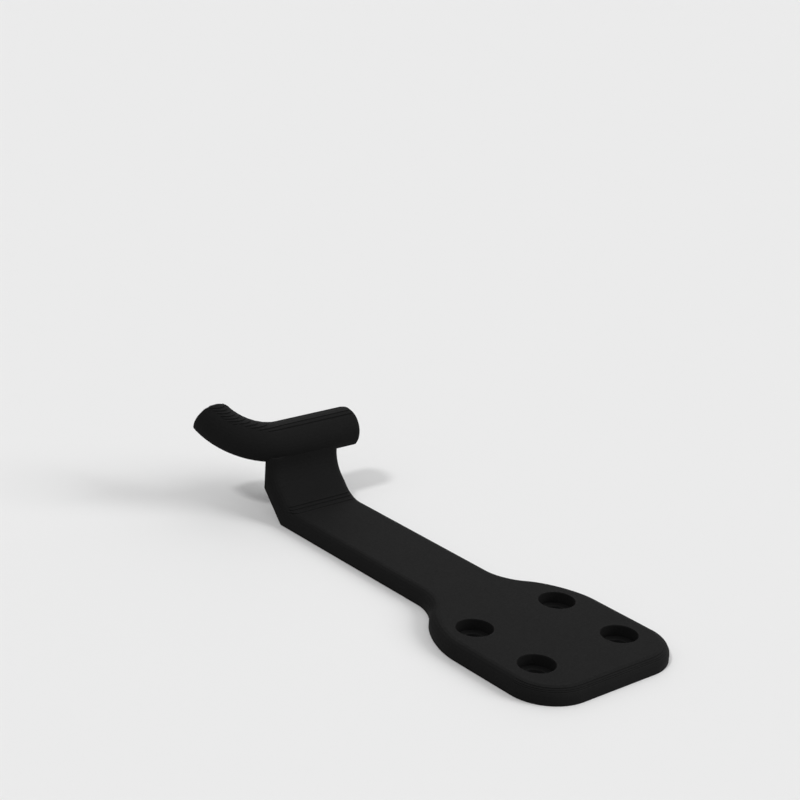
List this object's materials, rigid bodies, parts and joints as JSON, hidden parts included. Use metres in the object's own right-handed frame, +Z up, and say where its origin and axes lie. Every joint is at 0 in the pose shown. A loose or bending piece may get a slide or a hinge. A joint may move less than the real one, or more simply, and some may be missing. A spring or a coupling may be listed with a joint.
{
  "type": "heated bed cable bracket",
  "caption": "Flat plate with screw holes, a long arm and a short riser that carries a bent half-round rod for tying a cable bundle.",
  "frame": {"origin": "on the underside, below the middle of the screw hole pattern", "axes": "+X along the arm towards the rod, +Z up out of the plate on the rod's side, +Y towards the rod's bent end"},
  "size_m": [0.0889, 0.0308, 0.0185],
  "materials": {
    "dark_grey_plastic": "printed, matt"
  },
  "bodies": {
    "root": {"cable_bracket": "dark_grey_plastic"}
  },
  "joints": []
}
